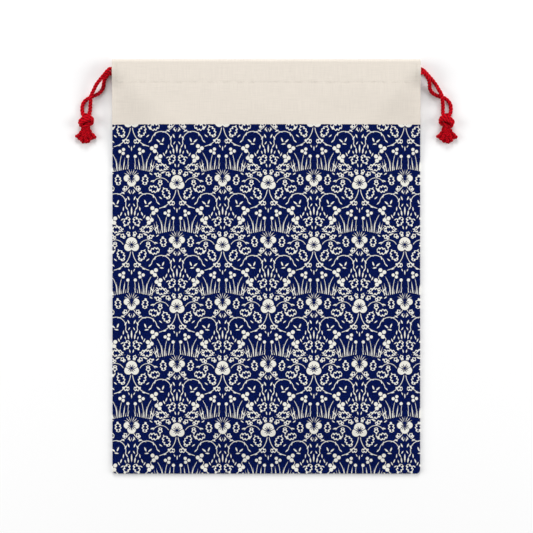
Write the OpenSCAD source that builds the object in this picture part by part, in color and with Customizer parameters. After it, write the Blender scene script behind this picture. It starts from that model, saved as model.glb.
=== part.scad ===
// Drawstring gift pouch, empty and lying on its back, with its mouth towards +Y.
// Two canvas panels are sewn along the sides and the bottom, and each has a casing folded along
// its top edge. Two drawcords run round both casings, one leaving at each side of the pouch.
// The origin is on the surface that it lies on, under the middle of the pouch.

/* [Pouch] */
// Width of the pouch across its side seams
pouch_w = 305; // [240:5:400]
// Length of the pouch from its bottom seam to its mouth
pouch_l = 410; // [320:5:520]
// Thickness of one layer of canvas
cloth_t = 0.6; // [0.4:0.1:0.8]
// Radius of the two bottom corners
corner_r = 4; // [2:1:8]
// Height of the front panel's middle above the surface
crown_h = 12; // [8:1:15]
// Distance from the seams over which the front panel rises
rise_w = 60; // [40:5:90]
// Length over which the front panel climbs to the front casing
climb_l = 60; // [40:5:90]

/* [Seams] */
// Width of the seam allowances turned inside
seam_w = 8; // [5:1:12]
// Pitch of the stitches
stitch_pitch = 3.5; // [2.5:0.5:5]
// Share of each pitch that the thread shows
stitch_share = 0.8; // [0.6:0.05:0.9]
// Thickness of the sewing thread
thread_t = 0.4; // [0.3:0.05:0.5]
// Width of a row of stitches
thread_w = 0.6; // [0.4:0.1:1]
// Distance from the casing's seam to its row of stitches
stitch_inset = 1.5; // [1:0.5:3]

/* [Casing] */
// Depth of each casing, from its seam to the mouth
casing_l = 24; // [20:1:32]
// Height left free in a casing over its cords
cord_play = 0.6; // [0.6:0.1:1.2]
// Gap between the two casings at the mouth
mouth_gap = 5; // [5:0.5:10]
// Width of the turned hem at each end of a casing
hem_w = 6; // [5:0.5:10]

/* [Drawcords] */
// Diameter of the drawcord
cord_d = 3.5; // [2.8:0.1:4.2]
// Gap between the two cords that lie side by side in a casing
cord_gap = 0.8; // [0.8:0.1:1.5]
// Distance from the mouth's edge to the middle of the two cords
cord_inset = 11.5; // [8:0.5:12]
// How far a cord's bight stands out past the side seam
bight_out = 1.5; // [0.5:0.5:3]

/* [Knots and tassels] */
// Width of each knot
knot_w = 16.5; // [12:0.5:20]
// Length of each knot along the cord
knot_l = 12.5; // [10:0.5:16]
// Height of each knot
knot_h = 10; // [8:0.5:12]
// Thickness of each tassel as it lies
tassel_h = 6; // [4:0.5:8]

/* [Hidden] */

half_w = pouch_w / 2;
half_l = pouch_l / 2;
casing_y = half_l - casing_l;              // line where the casings are sewn down
casing_h = cord_d + cord_play + 2 * cloth_t;   // outer height of one casing
front_z = casing_h + mouth_gap;            // underside of the front casing
top_z = front_z + casing_h;                // top of the front casing
seam_top = 3 * cloth_t;                    // back panel and the two layers of the allowance
edge_z = seam_top + cloth_t;               // top of the front panel over a seam
body_w = half_w - hem_w;                   // half the length of a casing between its hems

cord_y = half_l - cord_inset;
cord_step = (cord_d + cord_gap) / 2;
back_cord_z = casing_h / 2;
front_cord_z = front_z + casing_h / 2;
exit_out = 0.5;                            // where the free strands start, past the side seam
bight_r = (front_cord_z - back_cord_z) / 2;
bight_x = half_w + bight_out - cord_d / 2 - bight_r;

tube_sides = 8;
bight_turn = 22.5;
panel_columns = 26;
panel_rows = 30;
corner_rows = [0, 0.15, 0.4, 0.7];         // rows that follow a bottom corner, in corner radii

knot_at = [26, -49.5];                     // places on a tail count outwards from the side seam
tassel_outline = [[24.5, -54], [32.5, -54], [34, -62], [38.5, -67.5], [36, -71], [30, -71.5],
    [24.5, -73.5], [19.5, -71.5], [17, -68.5], [21, -63.5]];

// Free strands: distance outwards, distance along Y from cord_y, and height of the underside in
// cord diameters. The first two points of each are worked out from where it leaves its casing.
left_front_route = [[5.5, -1, 2.95], [8, -4, 2.6], [11.5, -8, 2.2], [15.5, -13, 1.7],
    [18, -18, 1.3], [20, -22, 1.15], [21.5, -26, 1.15], [21.5, -30, 0.8], [22, -34, 0.3],
    [22, -37, 0.1], [22.5, -40, 0.1], [23, -43, 0.5], [24.5, -45.5, 1.2]];
left_back_route = [[5, -4, 0.1], [7.5, -7.5, 0], [8.5, -11, 0], [9, -15, 0], [10.5, -18.5, 0],
    [14, -22, 0], [18.5, -24, 0], [23.5, -26.5, 0], [27.5, -29.5, 0], [29.5, -33, 0],
    [30, -37, 0], [29.5, -41, 0.1], [28, -45, 0.4]];
right_front_route = [[5.5, -4.5, 2.8], [8, -8, 2.2], [9, -12.5, 1.4], [9.5, -17, 0.6],
    [12, -21, 0.15], [16, -23.5, 0], [20.5, -25, 0], [24.5, -26.5, 0], [28, -29.5, 0],
    [30, -33, 0], [30.5, -37, 0], [30, -41, 0.1], [28, -45, 0.4]];
right_back_route = [[5.5, -1, 0], [9, -5, 0], [12.5, -9, 0.1], [16, -14, 0.5], [18.5, -18.5, 0.9],
    [20.5, -22, 1.15], [21.5, -26, 1.15], [22, -30, 0.8], [22.5, -34, 0.3], [22.5, -37, 0.1],
    [22.5, -40, 0.1], [23, -43, 0.5], [24.5, -45.5, 1.2]];

module canvas() color("wheat") children();
module print() color("navy") children();
module thread() color("beige") children();
module red() color("crimson") children();

function clamped(v) = max(0, min(1, v));
function eased(v) = let(c = clamped(v)) c * c * (3 - 2 * c);
function mixed(a, b, share) = a + (b - a) * share;

// How far a bottom corner's curve takes the side edge in, at a row d above the bottom
function corner_in(d) = d >= corner_r ? 0 : corner_r - sqrt(pow(corner_r, 2) - pow(corner_r - d, 2));
function edge_x(y) = half_w - corner_in(y + half_l);

// Top of the front panel: flat over the seams, crowned between them, and up to the casing
function climb(y) = eased((y - casing_y + climb_l) / climb_l);
function crowned(x, y) =
    let(d = min(half_w - abs(x), y + half_l) - seam_w)
    edge_z + (crown_h - edge_z) * sin(90 * clamped(d / rise_w));
function panel_top(x, y) = mixed(crowned(x, y), top_z, climb(y));
function rows_y() = concat([for (c = corner_rows) c * corner_r - half_l],
    [for (r = [0:panel_rows]) mixed(corner_r - half_l, casing_y, r / panel_rows)]);

// A closed solid between two heights over a grid of points: grid[row][column] = [x, y, low, high]
module grid_solid(grid) {
    rows = len(grid);
    columns = len(grid[0]);
    count = rows * columns;
    function at(r, c) = r * columns + c;
    points = concat([for (row = grid) each [for (p = row) [p[0], p[1], p[3]]]],
        [for (row = grid) each [for (p = row) [p[0], p[1], p[2]]]]);
    top = [for (r = [0:rows - 2], c = [0:columns - 2]) each
        [[at(r, c), at(r + 1, c), at(r + 1, c + 1)], [at(r, c), at(r + 1, c + 1), at(r, c + 1)]]];
    bottom = [for (f = top) [f[2] + count, f[1] + count, f[0] + count]];
    rim = concat([for (c = [0:columns - 2]) at(0, c)], [for (r = [0:rows - 2]) at(r, columns - 1)],
        [for (c = [columns - 1:-1:1]) at(rows - 1, c)], [for (r = [rows - 1:-1:1]) at(r, 0)]);
    sides = [for (i = [0:len(rim) - 1]) let(a = rim[i], b = rim[(i + 1) % len(rim)]) each
        [[a, b, b + count], [a, b + count, a + count]]];
    polyhedron(points, concat(top, bottom, sides));
}

module back_panel() print() translate([0, -half_l]) linear_extrude(cloth_t) union() {
    translate([-half_w, corner_r]) square([pouch_w, casing_y + half_l - corner_r]);
    translate([corner_r - half_w, 0]) square([pouch_w - 2 * corner_r, 2 * corner_r]);
    for (s = [-1, 1]) translate([s * (half_w - corner_r), corner_r]) circle(corner_r, $fn = 48);
}

module front_panel() print() grid_solid([for (y = rows_y()) [for (c = [0:panel_columns])
    let(x = edge_x(y) * (2 * c / panel_columns - 1), z = panel_top(x, y)) [x, y, z - cloth_t, z]]]);

// Two layers of allowance turned inside a side seam, deepening where the front climbs
module side_seam(side) canvas() grid_solid([for (y = rows_y()) let(
    xs = side < 0 ? [-edge_x(y), seam_w - half_w] : [half_w - seam_w, edge_x(y)],
    z = mixed(seam_top, top_z - cloth_t, climb(y))) [for (x = xs) [x, y, cloth_t, z]]]);

module bottom_seam() canvas() translate([seam_w - half_w, -half_l, cloth_t])
    cube([pouch_w - 2 * seam_w, seam_w, seam_top - cloth_t]);

// Section of a casing, from its seam to the fold at the mouth
module casing_outline(in) translate([in, in]) {
    h = casing_h - 2 * in;
    square([casing_l - in - casing_h / 2, h]);
    translate([casing_l - in - casing_h / 2, h / 2]) circle(h / 2, $fn = 48);
}

module casing_section() difference() {
    casing_outline(0);
    casing_outline(cloth_t);
}

// Stands a section drawn in Y and Z up along X
module along_x(from, to) translate([from, 0, 0]) rotate([90, 0, 90]) linear_extrude(to - from) children();

module casing(z) canvas() along_x(-body_w, body_w) translate([casing_y, z]) casing_section();
module back_casing() casing(0);
module front_casing() casing(front_z);

// The hem keeps only the half of the casing's section away from the mouth's gap
module hem(side, z, kept_z) canvas() along_x(side < 0 ? -half_w : body_w, side < 0 ? -body_w : half_w)
    intersection() {
        translate([casing_y, z]) casing_section();
        translate([casing_y, kept_z]) square([casing_l, casing_h / 2]);
    }
module back_hem(side) hem(side, 0, 0);
module front_hem(side) hem(side, front_z, front_z + casing_h / 2);

// A row of stitches along +X on a thin run of thread, its underside on z = 0
module stitch_row(length) {
    count = floor(length / stitch_pitch);
    step = length / count;
    base = thread_t / 4;
    thread() translate([0, thread_w / 2, 0]) rotate([90, 0, 0]) linear_extrude(thread_w) union() {
        square([length, base]);
        for (i = [0:count - 1]) translate([i * step, 0]) square([step * stitch_share, thread_t]);
    }
}

module casing_stitching(z) translate([-body_w, casing_y + stitch_inset, z]) stitch_row(2 * body_w);
module back_casing_stitching() casing_stitching(casing_h);
module front_casing_stitching() casing_stitching(top_z);

module hem_stitching(side) translate([side * (body_w + stitch_inset), casing_y + stitch_inset, top_z])
    rotate([0, 0, 90]) stitch_row(casing_l - casing_h / 2 - 2 * stitch_inset);

// Inside the pouch, along the inner edge of each allowance
module side_stitching(side) translate([side * (half_w - seam_w), -half_l + seam_w, 2 * cloth_t])
    rotate([0, 0, 90]) rotate([side * -90, 0, 0]) stitch_row(casing_y - climb_l + half_l - seam_w);
module bottom_stitching() translate([seam_w + thread_t - half_w, seam_w - half_l, 2 * cloth_t])
    rotate([-90, 0, 0]) stitch_row(pouch_w - 2 * (seam_w + thread_t));

function unit(v) = v / norm(v);
function tangent(p, i) = unit(p[min(i + 1, len(p) - 1)] - p[max(i - 1, 0)]);
// Carries a side vector along the route, so that the tube's rings don't twist
function carried(p, i, v) = let(t = tangent(p, i)) unit(v - (v * t) * t);
function side_vectors(p, i = 0, v = [0, 0, 1], found = []) =
    i == len(p) ? found
    : let(next = carried(p, i, v)) side_vectors(p, i + 1, next, concat(found, [next]));

module tube(p) {
    v = side_vectors(p);
    last = len(p) - 1;
    n = tube_sides;
    rings = [for (i = [0:last], k = [0:n - 1]) let(a = 360 * k / n)
        p[i] + cord_d / 2 * (cos(a) * v[i] + sin(a) * cross(tangent(p, i), v[i]))];
    walls = [for (i = [0:last - 1], k = [0:n - 1]) let(a = i * n + k, b = i * n + (k + 1) % n) each
        [[a, a + n, b + n], [a, b + n, b]]];
    polyhedron(rings, concat(walls, [[for (k = [0:n - 1]) k]], [[for (k = [n - 1:-1:0]) last * n + k]]));
}

// The stretch of a cord that the casings hold: along the front, round the bight and back.
// side is where its ends leave, and lead is +1 where its front run is the one nearer the mouth.
module cord_loop(side, lead) {
    end_x = side * (half_w + exit_out);
    turn = [for (a = [90:-bight_turn:-90]) [-side * (bight_x + bight_r * cos(a)),
        cord_y + lead * cord_step * sin(a), back_cord_z + bight_r * (1 + sin(a))]];
    red() tube(concat([[end_x, cord_y + lead * cord_step, front_cord_z]], turn,
        [[end_x, cord_y - lead * cord_step, back_cord_z]]));
}

// The free stretch of a cord, from its casing to its knot
module strand(side, lead, exit_z, route) {
    lead_in = [for (out = [exit_out, 5 * exit_out]) [side * (half_w + out), cord_y + lead * cord_step, exit_z]];
    red() tube(concat(lead_in, [for (p = route) [side * (half_w + p[0]), cord_y + p[1], cord_d * (0.5 + p[2])]]));
}

module knot(side) red() translate([side * (half_w + knot_at[0]), cord_y + knot_at[1], knot_h / 2])
    resize([knot_w, knot_l, knot_h]) sphere(knot_w / 2, $fn = 24);

module tassel(side) red() translate([side * half_w, cord_y, 0])
    linear_extrude(tassel_h) polygon([for (p = tassel_outline) [side * p[0], p[1]]]);

back_panel();
front_panel();
side_seam(-1);  // left_side_seam
side_seam(1);  // right_side_seam
bottom_seam();
back_casing();
front_casing();
back_hem(-1);  // left_back_hem
front_hem(-1);  // left_front_hem
back_hem(1);  // right_back_hem
front_hem(1);  // right_front_hem
back_casing_stitching();
front_casing_stitching();
hem_stitching(-1);  // left_hem_stitching
hem_stitching(1);  // right_hem_stitching
side_stitching(-1);  // left_side_stitching
side_stitching(1);  // right_side_stitching
bottom_stitching();
cord_loop(-1, 1);  // left_cord
strand(-1, 1, front_cord_z, left_front_route);  // left_front_strand
strand(-1, -1, back_cord_z, left_back_route);  // left_back_strand
knot(-1);  // left_knot
tassel(-1);  // left_tassel
cord_loop(1, -1);  // right_cord
strand(1, -1, front_cord_z, right_front_route);  // right_front_strand
strand(1, 1, back_cord_z, right_back_route);  // right_back_strand
knot(1);  // right_knot
tassel(1);  // right_tassel
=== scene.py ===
"""Looks of the drawstring gift pouch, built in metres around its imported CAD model."""

from math import atan2, cos, pi, radians, sin, tau

import bpy
import numpy as np
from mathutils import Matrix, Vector


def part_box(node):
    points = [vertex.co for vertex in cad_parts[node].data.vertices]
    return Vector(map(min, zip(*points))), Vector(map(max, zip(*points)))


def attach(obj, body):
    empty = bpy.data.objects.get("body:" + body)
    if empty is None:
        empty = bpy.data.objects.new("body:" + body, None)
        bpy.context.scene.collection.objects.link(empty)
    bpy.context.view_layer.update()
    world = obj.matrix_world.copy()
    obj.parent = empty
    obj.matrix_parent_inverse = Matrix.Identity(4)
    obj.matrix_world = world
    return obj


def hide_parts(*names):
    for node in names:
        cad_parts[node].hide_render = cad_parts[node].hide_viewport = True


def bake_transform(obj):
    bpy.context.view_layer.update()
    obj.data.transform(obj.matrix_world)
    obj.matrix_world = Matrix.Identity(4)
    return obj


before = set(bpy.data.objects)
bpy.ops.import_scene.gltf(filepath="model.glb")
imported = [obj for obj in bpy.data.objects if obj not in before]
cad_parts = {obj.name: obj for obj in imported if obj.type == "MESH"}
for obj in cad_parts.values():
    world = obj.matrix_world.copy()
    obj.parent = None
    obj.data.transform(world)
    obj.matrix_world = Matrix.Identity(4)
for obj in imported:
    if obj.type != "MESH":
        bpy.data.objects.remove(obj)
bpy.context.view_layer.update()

MM = 0.001
SIDES = {"left": -1, "right": 1}

# Sizes of the pouch, in millimetres, from its CAD nodes
HALF_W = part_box("back_panel")[1].x / MM
HALF_L = -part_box("back_panel")[0].y / MM
CLOTH_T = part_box("back_panel")[1].z / MM
CASING_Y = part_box("back_panel")[1].y / MM
MOUTH_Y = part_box("front_casing")[1].y / MM
BODY_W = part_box("front_casing")[1].x / MM
FRONT_CASING_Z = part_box("front_casing")[0].z / MM
CORD_D = 3.5
CORD_R = 2.05            # soft plies stand a little proud of the cord's nominal size
CORD_Y = MOUTH_Y - 11.5  # the cords' line, midway between the two in a casing
CORD_STEP = 2.15         # from the cords' line to each of the two cords in a casing
FRONT_CORD_Z = 12.95     # height of the cords' axes in the front casing
BACK_CORD_Z = 2.65
EXIT_OUT = 0.5           # from the side seam to the first point of a free strand
BIGHT_OUT = 1.5          # how far a bight reaches past the far seam

# ---------------------------------------------------------------- small helpers


def ease(v):
    """Smooth step from 0 to 1, for numbers and arrays."""
    c = np.clip(v, 0.0, 1.0)
    return c * c * (3 - 2 * c)


def rising(v, low, high):
    """0 up to low, 1 from high on, and a smooth step between them."""
    return ease((v - low) / (high - low))


def mix(a, b, share):
    return a + (b - a) * share


def make_piece(name, points, faces, material, uv=None, inner_faces=None, inner_material=None):
    """A mesh object from points in millimetres. inner_faces marks the faces that take inner_material."""
    mesh = bpy.data.meshes.new(name)
    mesh.from_pydata((np.asarray(points) * MM).tolist(), [], faces)
    mesh.materials.append(material)
    if inner_material is not None:
        mesh.materials.append(inner_material)
        mesh.polygons.foreach_set("material_index", np.asarray(inner_faces, np.int32))
    if uv is not None:
        layer = mesh.uv_layers.new(name="flat_cloth")
        corners = np.empty(len(mesh.loops), np.int32)
        mesh.loops.foreach_get("vertex_index", corners)
        layer.data.foreach_set("uv", (np.asarray(uv) * MM)[corners].astype(np.float32).ravel())
    mesh.shade_smooth()
    mesh.set_sharp_from_angle(angle=radians(50))
    mesh.validate()
    piece = bpy.data.objects.new(name, mesh)
    bpy.context.scene.collection.objects.link(piece)
    return piece


def smooth_path(points, step):
    """A Catmull-Rom curve through the points, resampled at even steps."""
    p = np.asarray(points, float)
    p = np.vstack([2 * p[0] - p[1], p, 2 * p[-1] - p[-2]])
    fine = []
    for i in range(1, len(p) - 2):
        a, b, c, d = p[i - 1 : i + 3]
        for t in np.linspace(0, 1, 24, endpoint=False):
            fine.append(
                0.5 * (2 * b + (c - a) * t + (2 * a - 5 * b + 4 * c - d) * t**2
                       + (3 * b - a - 3 * c + d) * t**3)
            )
    fine.append(p[-2])
    fine = np.array(fine)
    run = np.concatenate([[0], np.cumsum(np.linalg.norm(np.diff(fine, axis=0), axis=1))])
    count = max(2, int(round(run[-1] / step)))
    even = np.linspace(0, run[-1], count + 1)
    return np.column_stack([np.interp(even, run, fine[:, k]) for k in range(3)]), even


def path_frames(path):
    """Tangents and two side vectors along a path, carried without twisting."""
    tangent = np.gradient(path, axis=0)
    tangent /= np.linalg.norm(tangent, axis=1)[:, None]
    side = np.empty_like(path)
    v = np.array([0.0, 0.0, 1.0])
    for i, t in enumerate(tangent):
        v = v - t * v.dot(t)
        v /= np.linalg.norm(v)
        side[i] = v
    return tangent, side, np.cross(tangent, side)


def level_row(x, y, z):
    """Points along a row of cloth at one y. z is one height or one for each x."""
    return np.column_stack([x, np.full(len(x), y), np.broadcast_to(z, len(x))])


# ---------------------------------------------------------------- node helpers


class Net:
    """Short calls that add nodes to a material."""

    def __init__(self, name):
        self.material = bpy.data.materials.new(name)
        self.material.use_nodes = True
        self.tree = self.material.node_tree
        self.nodes = self.tree.nodes
        self.shader = self.nodes["Principled BSDF"]

    def put(self, value, socket):
        if isinstance(value, bpy.types.NodeSocket):
            self.tree.links.new(value, socket)
        else:
            socket.default_value = value

    def math(self, operation, *values):
        node = self.nodes.new("ShaderNodeMath")
        node.operation = operation
        for value, socket in zip(values, node.inputs):
            self.put(value, socket)
        return node.outputs[0]

    def vector(self, operation, *values):
        node = self.nodes.new("ShaderNodeVectorMath")
        node.operation = operation
        for value, socket in zip(values, node.inputs):
            self.put(value, socket)
        return node.outputs["Value" if operation in ("LENGTH", "DISTANCE", "DOT_PRODUCT") else "Vector"]

    def local(self, at, place, angle=0.0):
        """Coordinates seen from a place that is turned by angle degrees."""
        node = self.nodes.new("ShaderNodeMapping")
        node.vector_type = "TEXTURE"
        self.put(at, node.inputs["Vector"])
        node.inputs["Location"].default_value = (place[0], place[1], 0)
        node.inputs["Rotation"].default_value = (0, 0, radians(angle))
        return node.outputs[0]

    def split(self, at):
        node = self.nodes.new("ShaderNodeSeparateXYZ")
        self.put(at, node.inputs[0])
        return node.outputs

    def join(self, x, y, z=0.0):
        node = self.nodes.new("ShaderNodeCombineXYZ")
        for value, socket in zip((x, y, z), node.inputs):
            self.put(value, socket)
        return node.outputs[0]

    def noise(self, at, scale, detail=2.0):
        node = self.nodes.new("ShaderNodeTexNoise")
        self.put(at, node.inputs["Vector"])
        node.inputs["Scale"].default_value = scale
        node.inputs["Detail"].default_value = detail
        return node.outputs[0]

    def ramp(self, value, low, high, out_low=0.0, out_high=1.0, smooth=False):
        node = self.nodes.new("ShaderNodeMapRange")
        node.interpolation_type = "SMOOTHSTEP" if smooth else "LINEAR"
        for v, socket in zip((value, low, high, out_low, out_high), node.inputs):
            self.put(v, socket)
        return node.outputs[0]

    def blend_colours(self, share, a, b, mode="MIX"):
        node = self.nodes.new("ShaderNodeMix")
        node.data_type = "RGBA"
        node.blend_type = mode
        self.put(share, node.inputs["Factor"])
        for value, socket in ((a, node.inputs[6]), (b, node.inputs[7])):
            self.put(value if isinstance(value, bpy.types.NodeSocket) else (*value, 1), socket)
        return node.outputs[2]

    def toned(self, colour, tone):
        """The colour made lighter or darker by a factor."""
        return self.blend_colours(1.0, colour, self.join(tone, tone, tone), "MULTIPLY")

    def bump(self, height, strength, distance):
        node = self.nodes.new("ShaderNodeBump")
        node.inputs["Strength"].default_value = strength
        node.inputs["Distance"].default_value = distance
        self.put(height, node.inputs["Height"])
        return node.outputs[0]

    def uv(self):
        """Flat coordinates of cloth, or the angle and run of a rope."""
        return self.nodes.new("ShaderNodeTexCoord").outputs["UV"]

    def place(self):
        return self.nodes.new("ShaderNodeTexCoord").outputs["Object"]


# ---------------------------------------------------------------- camera, floor and light


def add_camera():
    camera = bpy.data.objects.new("camera", bpy.data.cameras.new("camera"))
    bpy.context.scene.collection.objects.link(camera)
    camera.data.lens = 200
    camera.data.sensor_width = 36
    camera.location = (0.0002, 0.0003, 2.937)
    camera.data.clip_end = 50
    bpy.context.scene.camera = camera


def add_floor():
    net = Net("pale_floor")
    net.shader.inputs["Base Color"].default_value = (0.94, 0.94, 0.94, 1)
    net.shader.inputs["Roughness"].default_value = 0.9
    net.shader.inputs["Specular IOR Level"].default_value = 0.0
    half = 3000
    corners = [(-half, -half, 0), (half, -half, 0), (half, half, 0), (-half, half, 0)]
    floor = make_piece("floor", corners, [(0, 1, 2, 3)], net.material)
    floor.location.z = -0.0001


def add_light(name, place, size, energy):
    """A round softbox turned towards the pouch."""
    light = bpy.data.lights.new(name, "AREA")
    light.shape = "DISK"
    light.size = size
    light.energy = energy
    lamp = bpy.data.objects.new(name, light)
    bpy.context.scene.collection.objects.link(lamp)
    lamp.location = place
    lamp.rotation_euler = (-Vector(place)).to_track_quat("-Z", "Y").to_euler()


def add_lights():
    world = bpy.data.worlds.new("studio")
    world.use_nodes = True
    background = world.node_tree.nodes["Background"]
    background.inputs["Color"].default_value = (1, 1, 1, 1)
    background.inputs["Strength"].default_value = 0.37
    bpy.context.scene.world = world
    bpy.context.scene.view_settings.view_transform = "Standard"
    add_light("upper_softbox", (0, 4.2, 2.5), 2.2, 121)
    for name, side in SIDES.items():
        add_light(f"{name}_softbox", (side * 2.3, 0.3, 1.2), 1.7, 37)


# ---------------------------------------------------------------- materials

CREAM = (0.74, 0.68, 0.605)
PRINT_CREAM = (0.79, 0.775, 0.705)
THREAD_CREAM = (0.82, 0.77, 0.69)
NAVY = (0.0018, 0.0064, 0.062)
RED = (0.65, 0.0016, 0.0110)
THREAD_PITCH = 0.55 * MM    # between neighbouring threads of the canvas
SLUB_WIDE, SLUB_LONG = 1500, 60     # noise scales across and along a thread
PLIES = 3                   # of the cord


def weave(net, at):
    """Height of a plain weave, and the unevenness of its threads, from flat cloth coordinates."""
    x, y, _ = net.split(at)
    turn = pi / THREAD_PITCH
    across = net.math("SINE", net.math("MULTIPLY", x, turn))
    along = net.math("SINE", net.math("MULTIPLY", y, turn))
    crossing = net.math("MULTIPLY", across, along)
    slub_x = net.noise(net.vector("MULTIPLY", at, (SLUB_WIDE, SLUB_LONG, 0)), 1.0)
    slub_y = net.noise(net.vector("MULTIPLY", at, (SLUB_LONG, SLUB_WIDE, 0)), 1.0)
    slubs = net.math("ADD", slub_x, slub_y)
    return crossing, slubs


def cloth_finish(net, at, colour):
    """Colour and bump of canvas: the weave and its slubs. The weave's height also tints the colour, darker
    in its low cells, painted shade.
    """
    crossing, slubs = weave(net, at)
    tone = net.ramp(slubs, 0.75, 1.25, 0.955, 1.035)
    # painted shade: the weave's low cells are a little darker and its high ones lighter
    tone = net.math("MULTIPLY", tone, net.ramp(crossing, -1.0, 1.0, 0.985, 1.015))
    net.put(net.toned(colour, tone), net.shader.inputs["Base Color"])
    height = net.math("ADD", net.math("MULTIPLY", crossing, 0.5), net.math("MULTIPLY", slubs, 0.8))
    net.put(net.bump(height, 0.35, 0.00012), net.shader.inputs["Normal"])
    net.shader.inputs["Roughness"].default_value = 0.88
    net.shader.inputs["Specular IOR Level"].default_value = 0.02


def plain_canvas():
    net = Net("plain_canvas")
    at = net.uv()
    cloth_finish(net, at, CREAM)
    return net.material


def thread_material():
    net = Net("sewing_thread")
    at = net.place()
    tone = net.ramp(net.noise(at, 3000.0), 0.3, 0.7, 0.9, 1.05)
    net.put(net.toned(THREAD_CREAM, tone), net.shader.inputs["Base Color"])
    net.shader.inputs["Roughness"].default_value = 0.6
    net.shader.inputs["Sheen Weight"].default_value = 0.1
    return net.material


def cord_material():
    """Soft cotton: yarns run round each ply, with pale fluff. Its colour is darkened in the valleys
    between the plies and between the yarns, painted shade.
    """
    net = Net("red_cotton_cord")
    at = net.uv()
    u, v, _ = net.split(at)
    # painted shade: the colour darkens towards the valleys between the plies
    crest = net.math("COSINE", net.math("MULTIPLY", u, PLIES / MM))
    painted_valley_shade = net.ramp(crest, -1.0, 0.2, 0.4, 1.0, smooth=True)
    yarn_turn = net.math("ADD", net.math("MULTIPLY", u, 30 / MM), net.math("MULTIPLY", v, 8 / MM))
    yarns = net.math("SINE", yarn_turn)
    fluff = net.noise(net.place(), 2600.0, 3.0)
    patches = net.ramp(net.noise(net.place(), 700.0, 1.0), 0.35, 0.65, 0.78, 1.2)
    fluff_tone = net.math("MULTIPLY", net.ramp(fluff, 0.25, 0.75, 0.75, 1.3), patches)
    # painted shade: the yarns' relief tints the colour too, lighter on their crests and darker between
    # them
    tone = net.math("ADD", net.math("MULTIPLY", yarns, 0.06), fluff_tone)
    tone = net.math("MULTIPLY", tone, painted_valley_shade)
    net.put(net.toned(RED, tone), net.shader.inputs["Base Color"])
    height = net.math("ADD", yarns, net.math("MULTIPLY", fluff, 3.0))
    net.put(net.bump(height, 0.5, 0.0002), net.shader.inputs["Normal"])
    net.shader.inputs["Roughness"].default_value = 0.85
    net.shader.inputs["Specular IOR Level"].default_value = 0.08
    return net.material


# The print is a floral repeat of our own: rows of blossoms, each row half a repeat across from the
# last, mirrored about every blossom. Places are in millimetres across from a round blossom and down
# from its middle, so 0 is the middle of a round blossom and HALF_REPEAT that of a whiskered one.
HALF_REPEAT = 45.1
ROW_PITCH = 61.2
ROW_TOP = 12.0              # how far a row reaches above its blossoms
ROW_ARCH = 1.6              # how far a row's foot bows up and down
PRINT_PLACE = (1.9, -38.9)  # where one round blossom lies on the pouch
BAND_Y = 140.8              # foot of the plain band below the mouth
OUTLINE = 1.35              # thickness of a leaf's pale outline
JAG_STEP = 3.0              # between the teeth of a leaf
JAG = 0.42                  # how far a tooth stands out
HEART_JAG = 1.7             # how many times as far the teeth of its dark heart stand out
SOLID_BELOW = 3             # narrower leaves are solid

# across, down, turn in degrees, length, width
LEAVES = [
    (10.6, 11.0, -64, 12.7, 7.4), (23.0, 6.6, -14, 11.4, 6.9), (31.6, -2.2, 84, 10.8, 6.1),
    (18.6, -7.2, -22, 7.6, 3.9), (30.4, 46.6, -4, 12.9, 7.1), (40.2, 38.6, -64, 10.4, 6.5),
    (8.8, -8.2, -42, 6.3, 3.9), (3.2, -10.4, -72, 6.1, 3.5), (5.4, 20.4, -12, 7.4, 4.7),
    (16.6, 0.7, 86, 7.0, 4.3), (38.6, 5.6, -44, 6.1, 3.7), (13.8, -9.8, 24, 5.2, 1.6),
    (45.25, 28.0, 90, 9.6, 1.8), (41.8, 30.2, 82, 5.8, 1.5), (38.8, 31.6, 72, 3.5, 1.1),
    (40.2, 25.4, 58, 4.8, 1.2), (36.9, 26.2, 96, 4.6, 1.2), (42.6, 22.4, 122, 3.6, 1.1),
    (42.0, 15.6, 66, 4.4, 1.5), (39.2, 17.4, 118, 4.4, 1.4), (43.0, 9.6, 60, 4.6, 1.3),
    (26.8, 20.4, 40, 5.2, 1.6), (31.4, 19.4, 112, 4.8, 1.6), (30.0, 23.4, 8, 4.6, 1.4),
    (36.6, 10.4, 30, 4.0, 1.3), (34.6, 31.2, 112, 4.6, 1.3), (32.4, 33.8, 64, 4.0, 1.2),
    (18.6, 20.6, -44, 4.4, 1.2), (23.4, 13.6, -76, 4.4, 1.2), (16.2, 15.4, -38, 4.0, 1.2),
    (12.0, 24.4, 20, 3.6, 1.1), (25.6, 43.6, 30, 3.6, 1.2), (35.8, 36.6, -30, 3.5, 1.1),
    (24.2, -1.4, 14, 4.4, 1.4), (25.8, -8.4, -34, 3.6, 1.2), (31.4, 53.4, 8, 4.4, 1.2),
    (39.6, 49.4, 40, 4.4, 1.3), (43.4, 44.6, 76, 3.8, 1.2), (17.0, 6.6, 62, 3.8, 1.1),
    (0.0, 27.8, 90, 4.8, 1.2), (2.6, 25.6, 118, 3.1, 1.0), (20.0, 44.6, 52, 5.2, 1.3),
]
# arcs: the centre's across and down, radius, middle angle, half the span in degrees, half the width
STEMS = [
    (16.0, 4.2, 8.6, -90, 62, 0.32), (22.0, 5.0, 21.1, 138, 36, 0.37), (29.6, 20.8, 9.8, -78, 96, 0.37),
    (28.8, -4.2, 16.2, 52, 30, 0.35), (50.0, 28.0, 24.7, 133, 18, 0.40), (38.0, 46.0, 23.0, 196, 20, 0.30),
    (10.0, 34.0, 17.6, 51, 17, 0.28), (-20.0, 44.0, 31.6, -4, 14, 0.28), (-30.0, 43.0, 33.6, -1, 10, 0.28),
    (24.0, 33.0, 2.2, 0, 70, 0.32),
]
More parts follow.
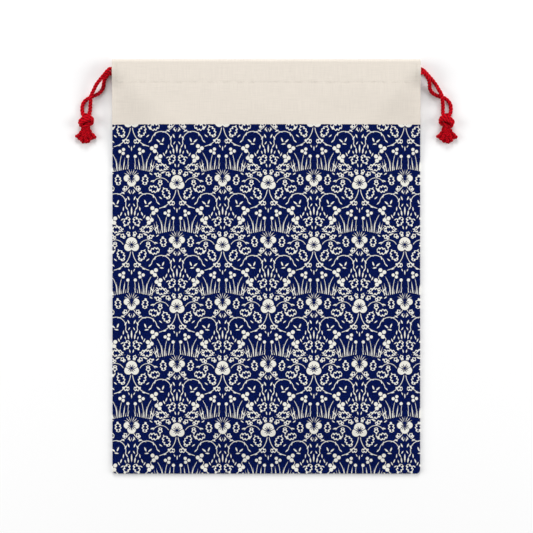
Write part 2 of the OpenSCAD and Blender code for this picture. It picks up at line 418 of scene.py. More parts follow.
# the heart's place, an upper petal's place and radius, a lower one's, and the heart's radius
BLOSSOMS = [
    ((0.0, 0.4), (0.0, -1.5), 5.6, (3.3, 2.6), 4.1, 2.7),
    ((HALF_REPEAT, -3.4), (HALF_REPEAT - 4.6, -4.2), 3.3, (HALF_REPEAT, -0.4), 4.4, 2.7),
]
BERRY_R = 2.0
BERRIES = [
    (24.3, 25.6), (20.4, 27.6), (23.2, 30.3), (28.8, 35.6), (25.0, 37.2), (27.8, 39.8),
]
BUD_R = 1.65
BUDS = [(8.0, 28.5), (11.6, 30.4), (8.4, 32.3), (3.7, 35.4)]
RAYS = 11.0                 # round a blossom's heart
RAY_LENGTH = 1.5
PARTING = 0.3               # between petals
# across, down, turn in degrees, angle between blades, blades each side, their start and end, half width
TUFTS = [
    (45.25, -5.5, -90, 21, 3, 2.2, 8.5, 0.32),
    (45.25, 4.2, 90, 34, 1, 3.0, 7.0, 0.42),
]
GRASS_FOOT = 51.0           # down from the blossoms
GRASS_MIDDLE = 12.4         # across from the blossoms
GRASS_STEP = 1.9            # between blades at their feet
GRASS_EACH_SIDE = 4         # blades
GRASS_HEIGHT = 10.0
GRASS_UNEVEN = 4.5
GRASS_SPREAD = 0.035        # for each millimetre up
GRASS_HALF_WIDTH = 0.42


def leaf_field(net, at, across, down, turn, length, width):
    """A pointed leaf: wide ones are a toothed outline round a dark heart."""
    a, b = length / 2, width / 2
    radius = (a * a + b * b) / (2 * b)
    seen = net.local(at, (across, down), turn)
    folded = net.vector("ABSOLUTE", seen)
    d = net.math("SUBTRACT", net.vector("DISTANCE", folded, (0, b - radius, 0)), radius)
    if width < SOLID_BELOW:
        return d
    along, _, _ = net.split(seen)
    teeth = net.math("MULTIPLY", net.math("SINE", net.math("MULTIPLY", along, tau / JAG_STEP)), JAG)
    heart = net.math("SUBTRACT", net.math("MULTIPLY", teeth, HEART_JAG), net.math("ADD", d, OUTLINE))
    return net.math("MAXIMUM", net.math("SUBTRACT", d, teeth), heart)


def stem_field(net, at, across, down, radius, middle, half_span, half_width):
    """A part of a circle's line."""
    seen = net.local(at, (across, down), middle)
    line = net.math("ABSOLUTE", net.math("SUBTRACT", net.vector("LENGTH", seen), radius))
    reach = radius * cos(radians(half_span))
    ends = net.math("SUBTRACT", reach, net.vector("DOT_PRODUCT", seen, (1, 0, 0)))
    return net.math("MAXIMUM", net.math("SUBTRACT", line, half_width), ends)


def tuft_field(net, at, across, down, turn, spacing, each_side, start, end, half_width):
    """A fan of blades round one point."""
    seen = net.local(at, (across, down), turn)
    x, y, _ = net.split(seen)
    r = net.vector("LENGTH", seen)
    turns = net.math("DIVIDE", net.math("ABSOLUTE", net.math("ARCTAN2", y, x)), radians(spacing))
    blade = net.math("ROUND", net.math("MINIMUM", turns, each_side + 0.4))
    off = net.math("MULTIPLY", net.math("ABSOLUTE", net.math("SUBTRACT", turns, blade)), radians(spacing))
    middle = (start + end) / 2
    from_middle = net.math("DIVIDE", net.math("SUBTRACT", r, middle), (end - start) / 2)
    taper = net.math("MULTIPLY", net.math("MULTIPLY", from_middle, from_middle), half_width)
    return net.math("ADD", net.math("SUBTRACT", net.math("MULTIPLY", off, r), half_width), taper)


def discs_field(net, at, places, radius):
    nearest = None
    for place in places:
        d = net.vector("DISTANCE", at, (*place, 0))
        nearest = d if nearest is None else net.math("MINIMUM", nearest, d)
    return net.math("SUBTRACT", nearest, radius)


def grass_field(net, across, down):
    """Separate blades that stand in a row and lean apart, of uneven heights."""
    up = net.math("SUBTRACT", GRASS_FOOT, down)
    spread = net.math("ADD", net.math("MULTIPLY", up, GRASS_SPREAD), 1.0)
    u = net.math("DIVIDE", net.math("SUBTRACT", across, GRASS_MIDDLE), spread)
    u = net.math("DIVIDE", u, GRASS_STEP)
    blade = net.math("ROUND", u)
    off = net.math("MULTIPLY", net.math("ABSOLUTE", net.math("SUBTRACT", u, blade)), GRASS_STEP)
    uneven = net.math("SINE", net.math("MULTIPLY", blade, 2.3))
    height = net.math("ADD", net.math("MULTIPLY", uneven, GRASS_UNEVEN), GRASS_HEIGHT)
    room = net.math("SUBTRACT", height, up)
    width = net.math("MINIMUM", net.math("MULTIPLY", room, 0.07), GRASS_HALF_WIDTH)
    ends = net.math("MAXIMUM", net.math("SUBTRACT", 0.0, room), net.math("SUBTRACT", 0.0, up))
    sides = net.math("SUBTRACT", net.math("ABSOLUTE", blade), GRASS_EACH_SIDE + 0.5)
    return net.math("MAXIMUM", net.math("SUBTRACT", off, width), net.math("MAXIMUM", ends, sides))


def blossom_field(net, at, middle, upper, upper_r, lower, lower_r, heart_r):
    """Petals parted by thin lines, with a dark heart that runs out in rays."""
    top = discs_field(net, at, [upper], upper_r)
    low = discs_field(net, at, [lower], lower_r)
    petals = net.math("MINIMUM", top, low)
    parting = net.math("SUBTRACT", PARTING, net.math("ABSOLUTE", net.math("SUBTRACT", top, low)))
    seen = net.local(at, middle)
    x, y, _ = net.split(seen)
    turn = net.math("MULTIPLY", net.math("ARCTAN2", y, x), RAYS)
    rays = net.math("MULTIPLY", net.math("COSINE", turn), RAY_LENGTH)
    heart = net.math("SUBTRACT", net.math("ADD", rays, heart_r), net.vector("LENGTH", seen))
    return net.math("MAXIMUM", net.math("MAXIMUM", petals, parting), heart)


def floral_field(net, flat):
    """Signed distance to the pale figures of the print, in millimetres: negative inside them."""
    x, y, _ = net.split(flat)
    x = net.math("SUBTRACT", x, PRINT_PLACE[0])
    arch = net.math("MULTIPLY", net.math("COSINE", net.math("MULTIPLY", x, tau / HALF_REPEAT)), ROW_ARCH)
    down = net.math("SUBTRACT", PRINT_PLACE[1], y)
    below_top = net.math("ADD", net.math("ADD", down, ROW_TOP), arch)
    row = net.math("FLOOR", net.math("DIVIDE", below_top, ROW_PITCH))
    down = net.math("SUBTRACT", down, net.math("MULTIPLY", row, ROW_PITCH))
    shifted = net.math("ADD", x, net.math("MULTIPLY", row, HALF_REPEAT))
    across = net.math("PINGPONG", shifted, HALF_REPEAT)
    at = net.join(across, down)
    fields = [blossom_field(net, at, *blossom) for blossom in BLOSSOMS]
    fields += [
        discs_field(net, at, BERRIES, BERRY_R),
        discs_field(net, at, BUDS, BUD_R),
        grass_field(net, across, down),
    ]
    fields += [leaf_field(net, at, *leaf) for leaf in LEAVES]
    fields += [stem_field(net, at, *stem) for stem in STEMS]
    fields += [tuft_field(net, at, *tuft) for tuft in TUFTS]
    nearest = fields[0]
    for field in fields[1:]:
        nearest = net.math("MINIMUM", nearest, field)
    return nearest


def printed_canvas():
    """Canvas printed navy around a pale floral repeat, below a plain band."""
    net = Net("printed_canvas")
    at = net.uv()
    flat = net.vector("MULTIPLY", at, (1 / MM, 1 / MM, 0))
    grain = net.math("SUBTRACT", net.noise(at, 1400.0, 1.0), 0.5)
    field = net.math("ADD", floral_field(net, flat), net.math("MULTIPLY", grain, 0.5))
    pale = net.ramp(field, -0.17, 0.07, 1.0, 0.0)
    _, y, _ = net.split(flat)
    edge = net.math("ADD", y, net.math("MULTIPLY", grain, 0.9))
    band = net.ramp(edge, BAND_Y - 0.15, BAND_Y + 0.15)
    speckle = net.ramp(net.noise(at, 900.0, 1.0), 0.35, 0.65, 0.45, 1.65)
    colour = net.blend_colours(pale, net.toned(NAVY, speckle), PRINT_CREAM)
    cloth_finish(net, at, net.blend_colours(band, colour, CREAM))
    return net.material


PLAIN = plain_canvas()
PRINTED = printed_canvas()
THREAD = thread_material()
CORD = cord_material()

# ---------------------------------------------------------------- cords

LAY = 10.0          # length in which a ply goes once round the cord

# The CAD routes of the free strands. First comes whether one leaves on the mouth's side (1) or the
# body's side (-1) of the cords' line, and the height of its axis there. Then come its points:
# distance out from the side seam, distance along Y from the cords' line, and height of the
# underside in cord diameters.
ROUTES = {
    "left_front": (1, FRONT_CORD_Z, [(5.5, -1, 2.95), (8, -4, 2.6), (11.5, -8, 2.2), (15.5, -13, 1.7),
        (18, -18, 1.3), (20, -22, 1.15), (21.5, -26, 1.15), (21.5, -30, 0.8), (22, -34, 0.3),
        (22, -37, 0.1), (22.5, -40, 0.1), (23, -43, 0.5), (24.5, -45.5, 1.2)]),
    "left_back": (-1, BACK_CORD_Z, [(5, -4, 0.1), (7.5, -7.5, 0), (8.5, -11, 0), (9, -15, 0),
        (10.5, -18.5, 0), (14, -22, 0), (18.5, -24, 0), (23.5, -26.5, 0), (27.5, -29.5, 0),
        (29.5, -33, 0), (30, -37, 0), (29.5, -41, 0.1), (28, -45, 0.4)]),
    "right_front": (-1, FRONT_CORD_Z, [(5.5, -4.5, 2.8), (8, -8, 2.2), (9, -12.5, 1.4), (9.5, -17, 0.6),
        (12, -21, 0.15), (16, -23.5, 0), (20.5, -25, 0), (24.5, -26.5, 0), (28, -29.5, 0),
        (30, -33, 0), (30.5, -37, 0), (30, -41, 0.1), (28, -45, 0.4)]),
    "right_back": (1, BACK_CORD_Z, [(5.5, -1, 0), (9, -5, 0), (12.5, -9, 0.1), (16, -14, 0.5),
        (18.5, -18.5, 0.9), (20.5, -22, 1.15), (21.5, -26, 1.15), (22, -30, 0.8), (22.5, -34, 0.3),
        (22.5, -37, 0.1), (22.5, -40, 0.1), (23, -43, 0.5), (24.5, -45.5, 1.2)]),
}


def rope_section(angle, radius):
    """Distance from the axis of a rope of three soft plies, at an angle from one of them."""
    offset, ply = 0.38 * radius, 0.62 * radius
    third = tau / PLIES
    a = (angle + third / 2) % third - third / 2
    return offset * np.cos(a) + np.sqrt(ply**2 - (offset * np.sin(a)) ** 2)


def rope_mesh(path, run, radius, around, lay=LAY, ply_up_at_end=False):
    """Points, faces and (angle, run) coordinates of one closed twisted rope along a path.

    Every rope starts with a ply pointing up. With ply_up_at_end it ends so too, and meets the next."""
    _, side, other = path_frames(path)
    twist = tau * run / lay
    if ply_up_at_end:
        up = atan2(other[-1][2], side[-1][2])
        third = tau / PLIES
        gap = (up - twist[-1] + third / 2) % third - third / 2
        twist = twist + gap * run / run[-1]
    angle = np.arange(around) * tau / around
    radii = np.broadcast_to(radius, len(run))
    points, uv = [], []
    for i, centre in enumerate(path):
        r = rope_section(angle, radii[i])
        a = angle + twist[i]
        ring = centre + (r * np.cos(a))[:, None] * side[i] + (r * np.sin(a))[:, None] * other[i]
        points.append(ring)
        uv.append(np.column_stack([angle, np.full(around, run[i])]))
    points.append(path[[0]])
    points.append(path[[-1]])
    uv.append(np.zeros((2, 2)))
    points, uv = np.vstack(points), np.vstack(uv)
    first, last = len(points) - 2, len(points) - 1
    faces = []
    for i in range(len(path) - 1):
        for k in range(around):
            a, b = i * around + k, i * around + (k + 1) % around
            faces.append((a, b, b + around, a + around))
    last_ring = (len(path) - 1) * around
    for k in range(around):
        n = (k + 1) % around
        faces.append((first, n, k))
        faces.append((last, last_ring + k, last_ring + n))
    return points, faces, uv


def join_meshes(parts):
    points, faces, uv, base = [], [], [], 0
    for p, f, u in parts:
        points.append(p)
        uv.append(u)
        faces += [tuple(i + base for i in face) for face in f]
        base += len(p)
    return np.vstack(points), faces, np.vstack(uv)


# Out from the side seam, and away from the cords' line
LEAD_IN = [(EXIT_OUT, CORD_STEP), (1.6, 2.05), (3.0, 1.3)]


def rope_piece(name, parts):
    """One piece of cord material from one or more ropes."""
    points, faces, uv = join_meshes(parts)
    return make_piece(name, points, faces, CORD, uv)


def strand_points(side, key):
    """A free strand's route: out of its casing, then along the places chosen for it."""
    lead, z, route = ROUTES[key]
    lead_in = [(side * (HALF_W + out), CORD_Y + lead * apart, z) for out, apart in LEAD_IN]
    return lead_in + [(side * (HALF_W + o), CORD_Y + dy, CORD_D * (0.5 + up)) for o, dy, up in route]


def add_strand(name, place):
    """A free strand, out of its casing and along its route."""
    side = SIDES[name]
    key = f"{name}_{place}"
    points = strand_points(side, key)
    path, run = smooth_path(points, 0.5)
    piece = rope_piece(f"{key}_cotton_strand", [rope_mesh(path, run, CORD_R, 24)])
    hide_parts(f"{key}_strand")
    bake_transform(piece)
    return piece, points, run[-1]


def add_loop(name):
    """The stretch of a cord inside the casings: along the front, round the bight and back."""
    side = SIDES[name]
    lead = ROUTES[f"{name}_front"][0]
    radius = (FRONT_CORD_Z - BACK_CORD_Z) / 2
    bight_x = HALF_W + BIGHT_OUT - CORD_D / 2 - radius
    end_x = side * (HALF_W + EXIT_OUT)
    step = lead * CORD_STEP
    shares = np.linspace(0, 0.97, 12)
    front = [(mix(end_x, -side * bight_x, t), CORD_Y + step, FRONT_CORD_Z) for t in shares]
    bight = []
    for a in np.radians(np.linspace(90, -90, 9)):
        x = -side * (bight_x + radius * cos(a))
        z = BACK_CORD_Z + radius * (1 + sin(a))
        bight.append((x, CORD_Y + step * sin(a), z))
    back = [(mix(end_x, -side * bight_x, t), CORD_Y - step, BACK_CORD_Z) for t in shares[::-1]]
    path, run = smooth_path(front + bight + back, 0.7)
    rope = rope_mesh(path, run, CORD_R, 18, ply_up_at_end=True)
    piece = rope_piece(f"{name}_cotton_loop", [rope])
    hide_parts(f"{name}_cord")
    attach(piece, f"{name}_cord")


KNOT_AT = (26.0, -49.5)     # out from the side seam, and along Y from the cords' line
KNOT_HEART_Z = 4.6          # height that the knot winds round
DOUBLED_STEP = 1.7          # from the middle of the doubled cord to each of its two
# The doubled cord's way through its overhand knot, from the strands above to the ends below
KNOT_ROUTE = [(-0.6, 8.0, 3.0), (-0.3, 4.6, 2.7), (0.8, 1.0, 2.1), (2.4, -2.4, 2.1), (4.8, -3.5, 3.3),
              (5.7, -1.8, 5.4), (4.2, 0.4, 7.2), (0.6, 2.2, 7.9), (-3.1, 3.1, 7.3), (-5.6, 2.2, 5.6),
              (-5.9, -0.2, 4.0), (-4.0, -2.6, 3.6), (-1.4, -3.2, 4.9), (0.5, -5.0, 4.6), (0.6, -7.4, 3.6)]


def knot_centre(side):
    return np.array([side * (HALF_W + KNOT_AT[0]), CORD_Y + KNOT_AT[1], 0.0])


def add_knot(name):
    """Both ends of a cord side by side, tied in one overhand knot."""
    side = SIDES[name]
    centre = knot_centre(side)
    path, run = smooth_path([(x * side, y, z) for x, y, z in KNOT_ROUTE], 0.5)
    tangent, _, _ = path_frames(path)
    across = np.cross(tangent, path - np.array([0, 0, KNOT_HEART_Z]))
    across /= np.linalg.norm(across, axis=1)[:, None]
    parts = []
    for k in (-1, 1):
        parts.append(rope_mesh(path + centre + across * k * DOUBLED_STEP, run, CORD_R * 0.97, 20))
    piece = rope_piece(f"{name}_overhand_knot", parts)
    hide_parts(f"{name}_knot")
    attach(piece, f"{name}_tail")
    return piece


PLY_R = 1.6
PLY_LAY = 6.0
# Plies of the tassel: where each leaves the knot, a bend on its way and its tip
TASSEL_PLIES = [
    ((-2.6, -4.5, 3.4), (-3.0, -11.5, 3.4), (-9.6, -16.2, 2.4)),
    ((-1.6, -4.5, 2.3), (-2.4, -12.0, 1.9), (-7.0, -17.8, 1.8)),
    ((-0.8, -4.5, 4.6), (-1.4, -12.5, 4.7), (-4.8, -18.6, 3.2)),
    ((-0.4, -4.5, 2.3), (-0.8, -12.5, 2.0), (-2.4, -20.8, 1.8)),
    ((0.4, -4.5, 4.8), (0.4, -12.5, 5.0), (0.2, -21.2, 3.2)),
    ((0.8, -4.5, 2.3), (1.6, -12.5, 2.0), (3.0, -21.6, 1.8)),
    ((1.4, -4.5, 4.4), (2.2, -12.0, 4.6), (5.2, -20.0, 3.0)),
    ((2.0, -4.5, 2.4), (3.2, -12.0, 2.0), (7.6, -17.6, 1.8)),
    ((2.7, -4.5, 3.6), (3.4, -11.0, 3.6), (10.4, -16.0, 2.4)),
]


def tassel_ply_path(i, leaves, bend, tip):
    """One ply of the tassel: a bent line with a small wave, which differs from ply to ply."""
    points = []
    for t in np.linspace(0, 1, 9):
        p = (1 - t) ** 2 * leaves + 2 * t * (1 - t) * bend + t**2 * tip
        wave = 0.55 * sin(2.4 * i + 7.5 * t * tau / 2.4) * ease(t * 2)
        points.append(p + np.array([wave, 0, 0.25 * wave]))
    return smooth_path(points, 0.45)


def add_tassel(name):
    """The two cut ends below the knot, frayed into their plies."""
    side = SIDES[name]
    parts = []
    for i, ply in enumerate(TASSEL_PLIES):
        path, run = tassel_ply_path(i, *(np.array(p) * (side, 1, 1) for p in ply))
        opening = 1 + 0.3 * ease((run - 5) / 8)
        cut_end = 1 - 0.35 * ease((run - run[-1] + 1.5) / 1.5)
        radii = PLY_R * opening * cut_end
        parts.append(rope_mesh(path + knot_centre(side), run, radii, 14, lay=PLY_LAY))
    piece = rope_piece(f"{name}_frayed_tassel", parts)
    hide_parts(f"{name}_tassel")
    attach(piece, f"{name}_tail")
    return piece


def add_cords(name):
    add_loop(name)
    knot = add_knot(name)
    tassel = add_tassel(name)
    for place in ("front", "back"):
        strand, points, length = add_strand(name, place)


# ---------------------------------------------------------------- cloth

BEAD = CLOTH_T          # how far a seamed edge's rounded fold stands out from the inner grid
CORNER_R = 4.0
CROWN = 11.5            # height of the front over the middle of the pouch
CASING_TOP = 15.9       # height of the front casing
FOLD_R = (CASING_TOP - FRONT_CASING_Z) / 2
FOLD_Y = MOUTH_Y - FOLD_R
STITCH_Y = CASING_Y + 1.5
SEWN_DEPTH = 3.1 * CLOTH_T      # from a casing's outer face to its inner one, where it is sewn down
BODY_RISE = (8, 60)     # flat cloth along a seam, and how far the rise from it runs
MOUTH_RISE = (1.5, 22)  # the same at the mouth
LIFT_Y = 95             # where the side seams start to lift off the surface
SLIT_LIFT = 6.6         # height of the back's edge where the side seam ends
FOLD_STEPS = 14         # round the half turn at the mouth
FACING_LAP = 3          # how far the panel's piece runs on down inside, to where the facing starts
ALLOWANCE = 8           # of the side and bottom seams
EDGE_GAP = 1.1          # from an outer edge to the layers turned in under it
ALLOWANCE_T = 0.53      # thickness of each turned-in layer
ALLOWANCE_TOP = 0.57    # height of its top over the full thicknesses of cloth under it
HEM_T = 0.5
HEM_GAP = 0.03          # between a casing's outer layer and the hem under it


def edge_distance(x, y):
    """Distance inwards from the pouch's outline, with its two rounded bottom corners."""
    dx, dy = HALF_W - np.abs(x), y + HALF_L
    corner = CORNER_R - np.hypot(CORNER_R - dx, CORNER_R - dy)
    return np.where((dx < CORNER_R) & (dy < CORNER_R), corner, np.minimum(dx, dy))


def inset_edge(y):
    """Half the width of the cloth's grid at a row."""
    r = CORNER_R - BEAD
    d = np.clip(r - (y + HALF_L - BEAD), 0, r)
    return HALF_W - BEAD - (r - np.sqrt(r * r - d * d))


def seam_lift(y):
    """How far the side seam is lifted off the surface where the front climbs to its casing."""
    return SLIT_LIFT * rising(y, LIFT_Y, CASING_Y)


def slit_share(y):
    """0 below the slits, 1 where front and back are fully apart."""
    return rising(y, CASING_Y, CASING_Y + 12)


def rise_profile(x, y):
    """0 along the seams and 1 where the cloth has reached its full height."""
    flat = mix(BODY_RISE[0], MOUTH_RISE[0], rising(y, 130, 180))
    width = mix(BODY_RISE[1], MOUTH_RISE[1], rising(y, 130, 185))
    return np.sin(pi / 2 * np.clip((edge_distance(x, y) - flat) / width, 0, 1))


def ripple(v, size, wander, over):
    """A sine along v whose spacing wanders a little."""
    return np.sin(v / size + wander * np.sin(v / over))


def near(v, place, reach):
    """1 at a place, falling to nothing over its reach."""
    return np.exp(-(((v - place) / reach) ** 2))


def puckers(x, y):
    """Small ripples that the seams draw into the cloth, and broad soft waves between them."""
    d = edge_distance(x, y)
    at_casing = 0.14 * ripple(x, 1.15, 2, 31) * near(y, STITCH_Y, 5)
    in_casing = 0.12 * ripple(x, 1.6, 3, 27) * rising(y, STITCH_Y, STITCH_Y + 6)
    below = 0.10 * ripple(x, 2.1, 2, 19) * rising(y, 140, 180) * (y < STITCH_Y)
    across = (at_casing + in_casing + below) * rising(np.abs(x), 0, 12) * rising(d, 0, 6)
    along_sides = 0.16 * ripple(y, 1.25, 1.5, 23) * near(d, 5, 7) * (y < CASING_Y)
    broad = 0.55 * np.sin(x / 21 + y / 47) * np.sin(y / 33 + 0.9) + 0.4 * np.sin(x / 34 - y / 26 + 2)
    return across + along_sides + broad * rising(d, 6, 51) * (1 - rising(y, 150, 180))


def front_top(x, y):
    """Height of the front's outer face, up to the fold at the mouth."""
    seam = seam_lift(y) + 4 * CLOTH_T
    edge = mix(seam, CASING_TOP, rising(y, CASING_Y - 7, CASING_Y + 15))
    middle = mix(CROWN, CASING_TOP, rising(y, 60, 185)) - 0.12 * near(y, STITCH_Y, 2)
    return mix(edge, middle, rise_profile(x, y)) + puckers(x, y)


def back_bottom(x, y):
    """Height of the back's outer face, which lies on the surface."""
    lift = seam_lift(y) * (1 - slit_share(y))
    return lift * (1 - rise_profile(x, y)) + 0.25 * near(y, STITCH_Y, 1.5)


# Each panel's outer surface, and which way it faces
FACES = {"front": (front_top, 1), "back": (back_bottom, -1)}


def grid_columns():
    """Places across one half of the cloth, as shares of its half width, from the middle out."""
    half = HALF_W - BEAD
    near_edge = [0, 0.5, 1.2, 2.2, 3.6, half - BODY_W]
    inner = np.arange(half - BODY_W + 1.5, half - 1.0, 1.5)
    return np.sort(1 - np.concatenate([near_edge, inner, [half]]) / half)


def panel_rows():
    corner = np.array([0, 0.25, 0.7, 1.3, 2.1, CORNER_R - BEAD]) + BEAD - HALF_L
    body = np.linspace(CORNER_R - HALF_L + 1.8, CASING_Y, 156)
    casing = np.linspace(CASING_Y, FOLD_Y, 22)[1:]
    return np.concatenate([corner, body, casing])


def cloth_grid(side, surface, outwards):
    """Points and flat coordinates of a panel's outer face: up the panel, over the mouth's fold."""
    shares = grid_columns()
    shares = shares if side > 0 else -shares[::-1]
    ys = panel_rows()
    rows, uv = [], []
    for y in ys:
        x = shares * inset_edge(y)
        rows.append(level_row(x, y, surface(x, y)))
        uv.append(level_row(x, y, 0)[:, :2])
    x = shares * inset_edge(FOLD_Y)
    centre = surface(x, FOLD_Y) - outwards * FOLD_R
    for a in np.linspace(0, pi, FOLD_STEPS + 1)[1:]:
        rows.append(level_row(x, FOLD_Y + FOLD_R * sin(a), centre + outwards * FOLD_R * cos(a)))
        uv.append(level_row(x, FOLD_Y + FOLD_R * a, 0)[:, :2])
    for t in np.linspace(0, FACING_LAP, 3)[1:]:
        rows.append(level_row(x, FOLD_Y - t, centre - outwards * FOLD_R))
        uv.append(level_row(x, FOLD_Y + FOLD_R * pi + t, 0)[:, :2])
    return np.array(rows), np.array(uv), len(ys)


def grid_normals(grid, flip):
    across = np.gradient(grid, axis=1)
    along = np.gradient(grid, axis=0)
    n = np.cross(across, along)
    n /= np.linalg.norm(n, axis=2)[:, :, None]
    return -n if flip else n


def thick_sheet(grid, uv, thickness, flip=False, keep=None, bead=None):
    """A closed sheet under a grid of outer points, and 1 for each of its faces that looks inwards.

    Where bead is true, the sheet's rim is a rounded fold of two layers."""
    rows, cols = grid.shape[:2]
    n = grid_normals(grid, flip)
    keep = np.ones((rows - 1, cols - 1), bool) if keep is None else keep
    bead = np.zeros((rows, cols), bool) if bead is None else bead
    depth = np.where(bead, 2 * thickness, thickness)[:, :, None]
    outer, inner = grid.reshape(-1, 3), (grid - n * depth).reshape(-1, 3)
    count = rows * cols
    points, flat = [outer, inner], [uv.reshape(-1, 2)] * 2
    faces = []
    for r, c in zip(*np.nonzero(keep)):
        a = r * cols + c
        face = (a, a + 1, a + 1 + cols, a + cols)
        faces.append(face[::-1] if flip else face)
    directed = {(f[k], f[(k + 1) % 4]) for f in faces for k in range(4)}
    rim = {a: b for a, b in directed if (b, a) not in directed}
    back_of = {b: a for a, b in rim.items()}
    faces += [tuple(i + count for i in f[::-1]) for f in faces]
    inside = [0] * (len(faces) // 2) + [1] * (len(faces) // 2)
    n, is_bead = n.reshape(-1, 3), bead.reshape(-1)
    steps = 6           # round the fold of a beaded rim
    chains, extra = {}, 2 * count
    for a in rim:
        chains[a] = [a, a + count]
        if not is_bead[a]:
            continue
        out = np.zeros(3)
        for p, q in ((back_of[a], a), (a, rim[a])):
            edge = outer[q] - outer[p]
            out += np.cross(edge / np.linalg.norm(edge), n[a])
        out /= np.linalg.norm(out)
        ring = [outer[a] - n[a] * thickness * (1 - cos(t)) + out * thickness * sin(t)
                for t in np.linspace(0, pi, steps + 1)[1:-1]]
        points.append(np.array(ring))
        flat.append(np.repeat(uv.reshape(-1, 2)[[a]], steps - 1, axis=0))
        chains[a] = [a, *range(extra, extra + steps - 1), a + count]
        extra += steps - 1
    for a, b in rim.items():
        ca, cb = chains[a], chains[b]
        if len(ca) == len(cb) > 2:
            faces += [(cb[j], ca[j], ca[j + 1], cb[j + 1]) for j in range(steps)]
            inside += [0] * steps
            if len(chains[rim[b]]) == 2:
                faces.append(tuple(cb))
                inside.append(0)
            if len(chains[back_of[a]]) == 2:
                faces.append(tuple(ca[::-1]))
                inside.append(0)
        else:
            faces.append((b, a, a + count, b + count))
            inside.append(0)
    return np.vstack(points), faces, np.vstack(flat), inside


def used_only(points, faces, uv):
    """The same mesh without the points that no face uses."""
    used = np.zeros(len(points), bool)
    for f in faces:
        used[list(f)] = True
    new = np.cumsum(used) - 1
    return points[used], [tuple(int(new[i]) for i in f) for f in faces], uv[used]


def gather(piece):
    """Bakes the piece's place into its mesh."""
    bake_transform(piece)


def add_panel(name, place):
    """One half of a panel with its casing's outer layer, the fold at the mouth and its edges."""
    side = SIDES[name]
    surface, outwards = FACES[place]
    grid, uv, panel_count = cloth_grid(side, surface, outwards)
    rows, cols = grid.shape[:2]
    half_turn = panel_count + FOLD_STEPS // 2 - 1      # row at the fold's outermost line
    at_hem = np.abs(grid[-1, :, 0]) > BODY_W + 0.01
    keep = np.ones((rows - 1, cols - 1), bool)
    keep[half_turn:, at_hem[1:] if side > 0 else at_hem[:-1]] = False
    bead = np.zeros((rows, cols), bool)
    bead[0, :] = True
    bead[: half_turn + 1, -1 if side > 0 else 0] = True
    points, faces, flat, inside = thick_sheet(grid, uv, CLOTH_T, outwards < 0, keep, bead)
    points, faces, flat = used_only(points, faces, flat)
    piece = make_piece(f"{place}_panel_{name}_half", points, faces, PRINTED, flat, inside, PLAIN)
    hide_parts(f"{place}_panel")
    gather(piece)
    return piece


def add_facing(name, place):
    """One half of a casing's inner layer, from the fold down to its seam."""
    side = SIDES[name]
    surface, outwards = FACES[place]
    columns = grid_columns() * (HALF_W - BEAD)
    columns = columns[columns < BODY_W + 0.01]
    x = columns if side > 0 else -columns[::-1]
    grid, uv = [], []
    for y in np.linspace(FOLD_Y - FACING_LAP, CASING_Y + CLOTH_T, 20):
        depth = mix(SEWN_DEPTH, 2 * FOLD_R, rising(y, STITCH_Y, STITCH_Y + 6))
        height = mix(surface(x, y), surface(x, FOLD_Y), rising(y, STITCH_Y, STITCH_Y + 8))
        grid.append(level_row(x, y, height - outwards * depth))
        uv.append(level_row(x, 2 * FOLD_Y + FOLD_R * pi - y, 0)[:, :2])
    sheet = thick_sheet(np.array(grid), np.array(uv), CLOTH_T, outwards < 0)
    piece = make_piece(f"{place}_casing_facing_{name}_half", *sheet[:2], PLAIN, sheet[2])
    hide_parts(f"{place}_casing")
    gather(piece)
    return piece


def add_hem(name, place):
    """The turned-under layer at one end of a casing."""
    side = SIDES[name]
    surface, outwards = FACES[place]
    x = np.sort(side * np.linspace(BODY_W + 0.2, HALF_W - EDGE_GAP, 6))
    ys = np.linspace(CASING_Y + 2.5, FOLD_Y, 16)
    grid = np.array([level_row(x, y, surface(x, y) - outwards * (CLOTH_T + HEM_GAP)) for y in ys])
    points, faces, flat, _ = thick_sheet(grid, grid[:, :, :2], HEM_T, outwards < 0)
    piece = make_piece(f"{name}_{place}_hem_layer", points, faces, PLAIN, flat)
    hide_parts(f"{name}_{place}_hem")
    gather(piece)
    return piece


def seam_allowance(name, x, ys):
    """The two layers of cloth turned in at a seam, one on the other."""
    parts = []
    for layer in (1, 2):
        top = CLOTH_T * layer + ALLOWANCE_TOP
        grid = np.array([level_row(x, y, seam_lift(y) + top) for y in ys])
        parts.append(thick_sheet(grid, grid[:, :, :2], ALLOWANCE_T)[:3])
    points, faces, flat = join_meshes(parts)
    return make_piece(name, points, faces, PLAIN, flat)


def add_side_seam(name):
    x = np.sort(SIDES[name] * np.linspace(HALF_W - ALLOWANCE, HALF_W - EDGE_GAP, 8))
    ys = np.linspace(ALLOWANCE + 1 - HALF_L, CASING_Y - 0.5, 150)
    piece = seam_allowance(f"{name}_side_allowance", x, ys)
    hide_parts(f"{name}_side_seam")
    gather(piece)


def add_bottom_seam():
    x = np.linspace(ALLOWANCE - HALF_W, HALF_W - ALLOWANCE, 60)
    ys = np.linspace(EDGE_GAP - HALF_L, ALLOWANCE - HALF_L, 8)
    piece = seam_allowance("bottom_allowance", x, ys)
    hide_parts("bottom_seam")
    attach(piece, "pouch")


# ---------------------------------------------------------------- stitches

STITCH_PITCH = 3.5
STITCH_SHARE = 0.8      # of the pitch is thread, the rest is the hole between two stitches
THREAD_R = 0.24
STITCH_HUMP = [-0.34, -0.02, 0.12, 0.16, 0.12, -0.02, -0.34]    # heights along one stitch
SIDE_STITCHES_TO = 122  # the row ends where the front climbs to its casing, as in the CAD
UP = (0, 0, 1)


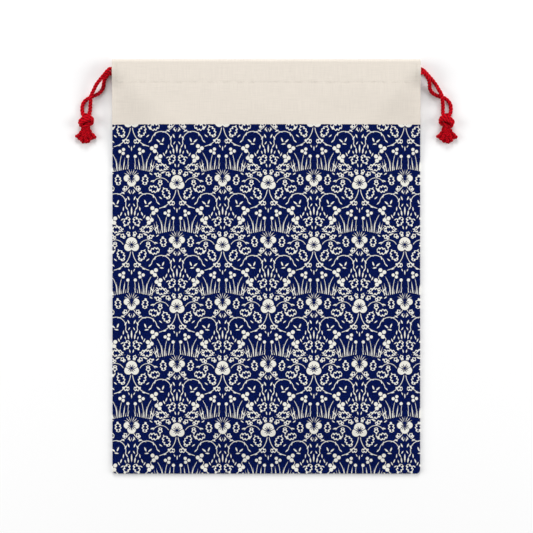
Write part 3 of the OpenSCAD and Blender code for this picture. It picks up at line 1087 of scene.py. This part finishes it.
def stitch_row(points, up):
    """Separate stitches of thread along a line of points, each dipping into the cloth at its ends."""
    points = np.asarray(points, float)
    run = np.concatenate([[0], np.cumsum(np.linalg.norm(np.diff(points, axis=0), axis=1))])
    count = int(run[-1] / STITCH_PITCH)
    pitch = run[-1] / count
    gap = (1 - STITCH_SHARE) / 2
    parts = []
    for i in range(count):
        at = pitch * np.linspace(i + gap, i + 1 - gap, len(STITCH_HUMP))
        line = np.column_stack([np.interp(at, run, points[:, k]) for k in range(3)])
        line = line + np.outer(STITCH_HUMP, up)
        parts.append(rope_mesh(line, at - at[0], THREAD_R, 8, lay=1.4))
    return join_meshes(parts)


def add_stitches(name, line, up, node, side_name=None):
    """A row of stitches, joined to the pouch unless side_name is given."""
    points, faces, uv = stitch_row(line, up)
    piece = make_piece(name, points, faces, THREAD, uv)
    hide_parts(node)
    if side_name:
        gather(piece)
    else:
        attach(piece, "pouch")


def add_casing_stitches(name, place, lift):
    """The row that holds a casing's facing, seen from above on the front and inside on the back."""
    surface, _ = FACES[place]
    xs = np.linspace(0.6, BODY_W, 120) * SIDES[name]
    line = level_row(xs, STITCH_Y, surface(xs, STITCH_Y) + lift)
    add_stitches(f"{place}_casing_stitches_{name}_half", line, UP, f"{place}_casing_stitching", name)


def add_hem_stitches(name):
    x = SIDES[name] * (BODY_W + 1.5)
    ys = np.linspace(STITCH_Y, FOLD_Y - 1, 20)
    line = [(x, y, float(front_top(x, y))) for y in ys]
    add_stitches(f"{name}_hem_stitches", line, UP, f"{name}_hem_stitching", name)


def add_side_stitches(name):
    """The row that closes a side seam, at the inner edge of its allowance."""
    side = SIDES[name]
    x = side * (HALF_W - ALLOWANCE - 0.05)
    ys = np.linspace(ALLOWANCE + 1 - HALF_L, SIDE_STITCHES_TO, 160)
    line = [(x, y, seam_lift(y) + 2 * CLOTH_T) for y in ys]
    add_stitches(f"{name}_side_stitches", line, (-side, 0, 0), f"{name}_side_stitching", name)


def add_bottom_stitches():
    xs = np.linspace(ALLOWANCE + 1 - HALF_W, HALF_W - ALLOWANCE - 1, 100)
    line = level_row(xs, ALLOWANCE + 0.05 - HALF_L, 2 * CLOTH_T)
    add_stitches("bottom_stitches", line, (0, 1, 0), "bottom_stitching")


def add_all_stitching():
    for name in SIDES:
        add_casing_stitches(name, "front", 0.0)
        add_casing_stitches(name, "back", SEWN_DEPTH)
        add_hem_stitches(name)
        add_side_stitches(name)
    add_bottom_stitches()


# ---------------------------------------------------------------- making

add_camera()
for half in SIDES:
    add_cords(half)
add_floor()
add_lights()

for half in SIDES:
    add_side_seam(half)
    for face in ("front", "back"):
        facing = add_facing(half, face)
        hem = add_hem(half, face)
        panel = add_panel(half, face)
add_bottom_seam()
add_all_stitching()
